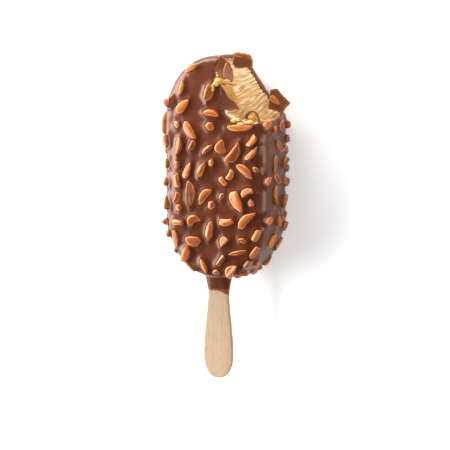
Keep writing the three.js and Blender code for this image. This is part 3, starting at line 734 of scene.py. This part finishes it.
def neck_grid():
    """The collar as oval rings along the stick: it narrows from a wide flare and ends in a rounded
    lip, cut off aslant."""
    share = np.concatenate([np.linspace(0, 1, NECK_RINGS), np.ones(LIP_RINGS)])[:, None]
    lip = np.concatenate([np.zeros(NECK_RINGS), np.linspace(15, 90, LIP_RINGS)])[:, None] * math.pi / 180
    angle = np.arange(NECK_POINTS) / NECK_POINTS * 2 * math.pi
    spread = NECK_WALL * np.cos(lip) + NECK_FLARE * (1 - share) ** 1.2
    squareness = 0.75 - 0.25 * share
    across = (STICK_NECK_HALF + spread) * power(np.cos(angle), squareness)
    through = (STICK_HALF_THICKNESS + spread) * power(np.sin(angle), squareness)
    slide = np.clip(across / STICK_NECK_HALF, 0, 1)
    hang = NECK_HANG * share * slide * slide * (3 - 2 * slide)
    y = NECK_ROOT_Y + (NECK_END_Y - NECK_ROOT_Y) * share - hang - NECK_LIP * np.sin(lip)
    return np.stack([STICK_X + across, y, MIDDLE + through], axis=-1)


# Milk chocolate, dipped and set: brown with a satin sheen, a touch of light below the surface,
# faint mottling where the fat set unevenly, and paler where it snapped, partly its broken section
# and partly a painted highlight.
chocolate, tree = new_material("milk chocolate, dipped")
patches = mottling(tree, 0.006, 3.0, 0.55)  # 6 mm
skin = mottling(tree, 0.0009, 2.0, 0.5)  # 0.5 mm texture
brown = blend(tree, ranged(tree, patches, 0.35, 0.65), srgb("#4c1e0c"), srgb("#572610"))
end_with(tree, {
    "Base Color": blend(tree, carried(tree, "snapped"), brown, srgb("#a9673f")),
    "Roughness": ranged(tree, patches, 0.3, 0.7, 0.29, 0.34), "IOR": 1.46,
    "Specular IOR Level": 0.56, "Specular Tint": srgb("#ffdac6"),
    "Subsurface Weight": 0.08, "Subsurface Radius": (1.0, 0.45, 0.25), "Subsurface Scale": 0.0008,
    "Normal": bumps(tree, skin, 0.12, 0.0001),
})

loops = bar_grid(CHOCOLATE_SPACING)
skin_points = loops.reshape(-1, 3)
rise = climb_almonds(skin_points) + WAVE_HEIGHT * swell(skin_points / WAVE_LENGTH, 12)
loops = (skin_points + unit(steepest(skin_points)) * rise[:, None]).reshape(loops.shape)
loops[..., 2] = np.maximum(loops[..., 2], -BAR_PLACE[2])  # nothing sinks into the ground
coat = new_piece("chocolate_coat", loops)
loops = neck_grid()
faces = [face[::-1] for face in capped_faces(*loops.shape[:2])]
carve(coat, new_piece("collar", loops, faces), "UNION")
carve(coat, new_piece("hollow", bar_grid(HIDDEN_SPACING, CHOCOLATE_WALL)))
carve(coat, bite_tool("snap", 300, 60, snapped))
shade(coat, 40)
middles = read_places(coat.data.polygons, "center")
share, depth, beyond = bite_place(middles)
# The break is painted paler: its broken section, and a painted highlight where a rounded break would
# catch light.
at_snap = (share > 0) & (share < 1) & (np.abs(beyond - snapped(share, depth)) < SNAP_MISS)
drip_y = NECK_END_Y - NECK_HANG / 2  # the thin end of the collar is as pale
drip = np.abs(middles[:, 1] - drip_y) < NECK_HANG / 2 + 0.3
carry(coat.data, "snapped", np.where(at_snap | drip, SNAP_PALENESS, 0.0), "FACE")
coat.data.materials.append(chocolate)
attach(coat, "root")
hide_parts("coating")

# ---- The almonds ----
# Each bit stands in the chocolate that set round it and is filmed with it: thin over its corners,
# where the roasted almond shows golden, and thicker low down.

ALMOND_ROOT = 1.1
ALMOND_POINTS = 26
# Rise as a share of the height, and how far the outline is drawn in, in millimetres.
ALMOND_RINGS = np.array([
    (-0.6, 0.0), (-0.1, -0.14), (0.2, -0.1), (0.45, -0.02), (0.7, 0.05), (0.88, 0.18), (0.97, 0.38),
    (1.0, 0.62),
])
TOP_RINGS = np.array([0.7, 0.35, 0.0])  # these close the top, as shares of the last of those


def blunted_outline(corners, points, times, stretch=1.0):
    """An outline with evenly spaced points and with its corners blunted a number of times. The
    stretch is how much longer its width counts in the spacing."""
    ring = np.vstack([corners, corners[:1]])
    run = np.concatenate([[0], np.cumsum(np.hypot(*np.diff(ring * (1, stretch), axis=0).T))])
    stops = np.arange(points) / points * run[-1]
    outline = np.stack([np.interp(stops, run, ring[:, k]) for k in (0, 1)], axis=-1)
    for _ in range(times):
        outline = 0.5 * outline + 0.25 * (np.roll(outline, 1, axis=0) + np.roll(outline, -1, axis=0))
    return outline


def almond_grid(laid, seed):
    """Almonds of one kind as rings from under the skin to a middle point on top.

    Each ring is the unit outline, bowed to one side and with a few random swells, drawn in toward
    the top. The top leans as cut, and beyond a crest along the piece it falls away as a second cut.
    """
    draw = np.random.default_rng(seed)
    outline = blunted_outline(ALMOND_OUTLINES[laid[0]["kind"]], ALMOND_POINTS, 2, 1.3)
    count = len(laid)
    size = np.array([almond["size"] for almond in laid])
    lean = np.array([almond["lean"] for almond in laid])
    turn = np.arctan2(outline[:, 1] * 2, outline[:, 0])
    ragged = 1.06 + sum(
        draw.uniform(-0.05, 0.05, (count, 1)) * np.cos(k * turn + draw.uniform(0, 6.28, (count, 1)))
        for k in (2, 3, 5))
    plan = outline * ragged[..., None]
    plan[..., 1] += draw.uniform(-0.3, 0.3, (count, 1)) * (plan[..., 0] ** 2 - 0.4)
    rise, drawn_in = ALMOND_RINGS[:, 0], ALMOND_RINGS[:, 1]
    half = (size[:, :2] * (0.5, 1))[:, None] - drawn_in[:, None] * (1, 2)
    half = np.concatenate([half, np.repeat(half[:, -1:], len(TOP_RINGS), axis=1)], axis=1)
    inward = np.concatenate([np.ones_like(rise), TOP_RINGS])[:, None]
    rise = np.concatenate([rise, np.ones_like(TOP_RINGS)])[:, None]
    across = plan[:, None] * inward[..., None]
    x, y = across[..., 0] * half[..., :1], across[..., 1] * half[..., 1:]
    side = np.where(draw.uniform(0, 1, (count, 1, 1)) < 0.5, 1.0, -1.0)
    crest = side * math.pi / 2 + draw.uniform(-0.5, 0.5, (count, 1, 1))
    past = across[..., 0] * np.cos(crest) + 2 * across[..., 1] * np.sin(crest)
    past = past - draw.uniform(-0.35, 0.25, (count, 1, 1))
    falls = draw.uniform(0.2, 0.6, (count, 1, 1)) * 0.5 * (past + np.hypot(past, 0.12))
    leans = lean[:, None, None, 0] * across[..., 0] + lean[:, None, None, 1] * 2 * across[..., 1]
    bulge = 0.12 * (1 - inward)
    cut = np.maximum(1.05 + np.clip(rise, 0, 1) * (leans - falls + bulge), 0.5)
    z = size[:, 2, None, None] * rise * cut
    root = np.broadcast_to((0, 0, -ALMOND_ROOT), (count, 1, ALMOND_POINTS, 3))
    local = np.concatenate([root, np.stack([x, y, z], axis=-1)], axis=1)
    axes = np.array([almond["axes"] for almond in laid])
    place = np.array([almond["point"] for almond in laid])
    points = np.einsum("nrci,nij->nrcj", local, axes) + place[:, None, None]
    points[..., 2] = np.maximum(points[..., 2], -BAR_PLACE[2])
    return points


# Roasted almond under a film of milk chocolate: amber brown on its flats, where the film is thick,
# golden along its edges, where it ran thin, and painted lighter still where they face left or the
# tip, a painted highlight, with the satin sheen of the coat.
almond_film, tree = new_material("roasted almond, filmed with chocolate")
film = mottling(tree, 0.0018, 3.0, 0.6)  # 1.5 mm
flat = blend(tree, carried(tree, "tone"), srgb("#743418"), srgb("#b06026"))
varied = blend(tree, ranged(tree, film, 0.4, 0.75, end=0.5), flat, srgb("#b8682a"))
# paler edges: partly the thinner film, partly a painted highlight
edged_and_highlit = blend(tree, carried(tree, "edge"), varied, srgb("#dd9c5a"))
end_with(tree, {
    "Base Color": blend(tree, carried(tree, "low"), edged_and_highlit, srgb("#6d351c")),
    "Roughness": 0.3, "IOR": 1.46, "Specular IOR Level": 0.38,
    "Subsurface Weight": 0.12, "Subsurface Radius": (1.0, 0.5, 0.25), "Subsurface Scale": 0.0008,
    "Normal": bumps(tree, film, 0.5, 0.0002),
})

# How much each ring is an edge, painted lighter partly for its thin film and partly as a painted
# highlight, from below to the middle on top, and how thick the film is.
RING_EDGE_AND_HIGHLIGHT = np.array([0, 0, 0, 0, 0.2, 0.55, 0.9, 0.75, 0.3, 0.05, 0, 0])
RING_LOW = np.array([1, 1, 1, 0.85, 0.4, 0.1, 0, 0, 0, 0, 0, 0])


def add_almonds(name, laid, seed, replaced):
    """One piece for almonds of one kind, with the film's thickness, a painted highlight on its edges and
    a tone of its own on each.

    Its edges are painted lighter where they face left or the tip, the side the lamps light: a painted
    highlight.
    """
    points = almond_grid(laid, seed)
    count, rows, columns = points.shape[:3]
    outward = unit(points - points.mean(axis=(1, 2), keepdims=True))
    # painted highlight: edges that face left or the tip, toward the lamps, are painted lighter
    lit_side = np.clip(0.45 - 0.6 * outward[..., 0] + 0.25 * outward[..., 1], 0.1, 1)
    tones = np.random.default_rng(seed + 50).uniform(0, 1, (count, 1, 1))
    piece = new_piece(
        name, points, grid_faces(rows, columns, count), sharp=60,
        tone=tones, edge=RING_EDGE_AND_HIGHLIGHT[:, None] * lit_side, low=RING_LOW[:, None],
    )
    piece.data.materials.append(almond_film)
    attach(piece, "root")
    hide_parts(*replaced)


for number, kind in enumerate(ALMOND_OUTLINES):
    laid = [almond for almond in almonds if almond["kind"] == kind]
    add_almonds(f"almond_{kind}s", laid, 20 + number, ["coating"])

# ---- Broken chocolate at the bite ----
# Plates of the coat that cracked off and stuck in the ice cream: flat or slightly curved, with a
# clean paler rim where they snapped, partly the broken section and partly a painted highlight, and
# flats painted lighter than the coat, painted light. Three still carry an almond.

SHARDS = {  # where the middle is, which way it faces, thickness, bend and outline in its own plane
    "left_shard": (
        (3.2, 41.85, 21.9), (0.6, 0, 0.8), 1.7, 0.02,
        [(-2.2, 7.3), (-3.4, 3.7), (-4.6, 1.1), (-4.6, -1.4), (-2.7, -2.1), (-0.9, -3.8), (1.6, -5.3),
         (3.4, -5.5), (4, -2.3), (3.5, 0.9), (2.2, 3.5), (0.2, 5.6)],
    ),
    "top_shard": (
        (9.2, 46.4, 16), (0.3, -0.1, 0.95), 4, 0.0,
        [(-3.3, 4.1), (-4, 1), (-4.5, -0.8), (-3.3, -2.6), (-1.3, -3.1), (1.3, -2.8), (4.4, -2.6),
         (4.6, 0.2), (3.5, 2.6), (0.1, 3.7)],
    ),
    "lower_shard": (
        (4.5, 28.85, 21.6), (0.62, 0.2, 0.75), 1.5, 0.02,
        [(-2.4, 7.1), (-3.4, 7), (-3.9, 2.4), (-4.4, -2.8), (-3, -4.3), (2.2, -4.1), (5.2, -3.2),
         (3.2, -0.1), (0, 2.3), (-1.5, 5.7)],
    ),
    "right_shard": (
        (23.1, 28.9, 7.5), (0.3, 0.1, 0.95), 1.7, 0.01,
        [(-4, 5), (-4.5, 2), (-5, -3.5), (-1.5, -4.5), (1.5, -5.5), (2.5, -3.5), (5, -1), (0.5, 3.5),
         (-1, 5.5)],
    ),
}
PLATE_POINTS = 96
PLATE_RIM = 0.28  # radius of the soft rim
PLATE_RINGS = [9, 2.5, 1, 0.5]  # how far each ring of a flat is drawn in
# painted light on the flats; on the edges and rims the paler break and a painted highlight
FLAT_PAINTED_LIGHT, EDGE_BREAK_AND_HIGHLIGHT, RIM_BREAK_AND_HIGHLIGHT = 0.36, 0.75, 1.0
SHARD_ALMONDS = {  # kind, place on the plate, length, width, turn and height
    "left_shard": ("wedge", (0.8, -0.4), 9.0, 3.9, 93, 0.7),
    "top_shard": ("slat", (0.1, 2.6), 7.6, 2.2, -15, 0.8),
    "right_shard": ("wedge", (-1.9, 0), 5.6, 3, -42, 1.2),
}


def plate_grid(outline, thickness, bend, seed):
    """A broken plate as rings: its outline with small jags, drawn in over a soft rim at both faces
    toward the middle, on a sheet that curves like a shallow bowl."""
    plan = blunted_outline(outline, PLATE_POINTS, 1)[::-1]
    size = np.hypot(*plan.T)
    turn = np.arctan2(plan[:, 1], plan[:, 0])
    soft = np.linspace(0, math.pi / 2, 4)
    edge = PLATE_RIM * (1 - np.sin(soft))
    drawn_in = np.concatenate([PLATE_RINGS, edge, edge[-2::-1], PLATE_RINGS[::-1]])
    up = thickness / 2 - PLATE_RIM * (1 - np.cos(soft))
    level = np.full(len(PLATE_RINGS), thickness / 2)
    height = np.concatenate([-level, -up, up[-2::-1], level])
    share = np.clip(1 - drawn_in[:, None] / size, 0, 1)
    share[[0, -1]] = 0
    around = np.stack([np.cos(turn), np.sin(turn)], axis=-1)[None]
    jag = 0.12 * swell(around * 4 + 0.2 * height[:, None, None], seed)
    flat = plan * (share * (1 + jag / size * (share > 0.5)))[..., None]
    z = height[:, None] - bend * (flat ** 2).sum(-1)
    return np.concatenate([flat, z[..., None]], axis=-1)


for number, (name, (at, facing, thickness, bend, outline)) in enumerate(SHARDS.items()):
    normal = unit(np.array(facing, float))
    axes = np.stack([*plane_frame(normal), normal])
    loops = plate_grid(outline, thickness, bend, 30 + number)
    rows, columns = loops.shape[:2]
    # The flats are painted lighter, painted light; the edges and rims paler still, the break and a
    # painted highlight.
    painted_light_and_break = np.full((rows, 1), FLAT_PAINTED_LIGHT)
    painted_light_and_break[3:-3] = EDGE_BREAK_AND_HIGHLIGHT
    painted_light_and_break[5:-5] = RIM_BREAK_AND_HIGHLIGHT
    faces = [face[::-1] for face in grid_faces(rows, columns)]
    plate = new_piece(f"{name}_plate", loops @ axes + at, faces, sharp=50, snapped=painted_light_and_break)
    plate.data.materials.append(chocolate)
    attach(plate, "root")
    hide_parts(name)
    if name in SHARD_ALMONDS:
        kind, spot, length, width, degrees, height = SHARD_ALMONDS[name]
        point = np.array([*spot, thickness / 2]) @ axes + at
        laid = [laid_almond(kind, point, normal, degrees, length, width, height)]
        add_almonds(f"{name}_almond", laid, 40 + number, [name])

# ---- The curl ----
# A thin strip of the coat that the lower teeth pushed up into a loop round a lump of ice cream. It
# stands on its edge, held by the ice cream it was pressed into.

CURL_PATH = [
    (12.6, 21.2, 19.3), (13, 23.4, 19.2), (15.2, 24.7, 19), (17.4, 23.1, 19.2), (21, 19.5, 19.6),
]
CURL_HALF_WIDTH, CURL_HALF_THICKNESS = 0.9, 0.36
CURL_LOOPS, CURL_POINTS = 40, 20
CURL_PALENESS = 0.35


def curl_grid():
    """A flat oval carried along a smooth path through the given points, upright on its edge."""
    knots = np.array(CURL_PATH, float)
    run = np.concatenate([[0], np.cumsum(np.linalg.norm(np.diff(knots, axis=0), axis=1))])
    stops = np.linspace(0, run[-1], CURL_LOOPS)
    path = np.stack([np.polyval(np.polyfit(run, row, 4), stops) for row in knots.T], axis=-1)
    along = unit(np.gradient(path, axis=0))
    sideways = unit(np.cross(along, (0, 0, 1)))
    angle = np.arange(CURL_POINTS) / CURL_POINTS * 2 * math.pi
    taper = np.ones(CURL_LOOPS)
    taper[[0, 1, -2, -1]] = 0, 0.85, 0.85, 0
    across = CURL_HALF_THICKNESS * power(np.cos(angle), 0.6) * taper[:, None]
    through = CURL_HALF_WIDTH * power(np.sin(angle), 0.6) * taper[:, None]
    upright = np.array([0, 0, 1])
    return path[:, None] + sideways[:, None] * across[..., None] + upright * through[..., None]


curl = new_piece("curl_strip", curl_grid(), snapped=CURL_PALENESS)
curl.data.materials.append(chocolate)
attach(curl, "root")
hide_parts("curl")

# ---- Floor, light and camera ----
# A plain white table under large soft lights: two at the left, whose sheen shows on the left flank,
# one beyond the tip, and a strip at the right that draws the line of light along the edge.

# White matt board, lit from below too, so it stays white.
floor_paint, tree = new_material("white matt board")
end_with(tree, {
    "Base Color": srgb("#f4f4f4"), "Roughness": 0.9,
    "Emission Color": (1, 1, 1, 1), "Emission Strength": 0.2,
})
FLOOR_HALF = 3.0
corners = [(x * FLOOR_HALF, y * FLOOR_HALF, 0) for x, y in ((-1, -1), (1, -1), (1, 1), (-1, 1))]
board = bpy.data.meshes.new("board")
board.from_pydata(corners, [], [(0, 1, 2, 3)])
board.materials.append(floor_paint)
floor = add_object("board", board)

YAW, PITCH = math.radians(23.5), math.radians(6)
PIXELS_PER_MM = 2.27
FRAME_PIXELS = 450
MIDDLE_PIXEL = (226, 166.2)  # the bar's middle in the frame
CAMERA_AWAY, SENSOR_WIDTH = 0.9, 36


def set_place(thing, right, up, back, place):
    """Stands a camera or a light, which looks away from its back, at a place in metres."""
    rows = np.stack([right, up, back, place], axis=1)
    thing.matrix_world = Matrix([*rows.tolist(), (0, 0, 0, 1)])


back = np.array([
    math.sin(YAW) * math.cos(PITCH), math.sin(PITCH), math.cos(YAW) * math.cos(PITCH)])
right = np.array([math.cos(YAW), 0, -math.sin(YAW)])
up = np.cross(back, right)
aim = np.array([0, 0, MIDDLE]) + BAR_PLACE + (
    right * (FRAME_PIXELS / 2 - MIDDLE_PIXEL[0]) - up * (FRAME_PIXELS / 2 - MIDDLE_PIXEL[1])
) / PIXELS_PER_MM
lens = bpy.data.cameras.new("camera")
lens.sensor_width = SENSOR_WIDTH
lens.lens = SENSOR_WIDTH * CAMERA_AWAY * 1000 / (FRAME_PIXELS / PIXELS_PER_MM)
camera = add_object("camera", lens)
set_place(camera, right, up, back, aim / 1000 + back * CAMERA_AWAY)
bpy.context.scene.camera = camera

LIGHTS = {  # where it stands, its size both ways in metres, and its power in watts
    "high left": ((-0.86, 0.0, 0.61), (1.1, 0.26), 12.5),
    "left": ((-0.95, 0.2, 0.34), (1.1, 0.4), 17.0),
    "beyond": ((-0.5, 0.85, 0.32), (0.9, 0.3), 17.0),
    "strip": ((0.8, -0.1, 0.6), (0.1, 0.9), 6.0),
}
LIT_SPOT = np.array([0, 0.02, 0.01])  # all are aimed at this
for name, (stand, size, watts) in LIGHTS.items():
    lamp = bpy.data.lights.new(name, "AREA")
    lamp.shape = "RECTANGLE"
    lamp.size, lamp.size_y = size
    lamp.energy = watts
    toward = unit(LIT_SPOT - stand)
    level = unit(np.cross(toward, (0, 0, 1)))
    set_place(add_object(name, lamp), level, np.cross(level, toward), -toward, stand)

sky = bpy.data.worlds.new("studio")
bpy.context.scene.world = sky
sky.use_nodes = True
even_light = sky.node_tree.nodes["Background"]
even_light.inputs["Color"].default_value = (1, 1, 1, 1)
even_light.inputs["Strength"].default_value = 0.25
bpy.context.scene.view_settings.view_transform = "Standard"
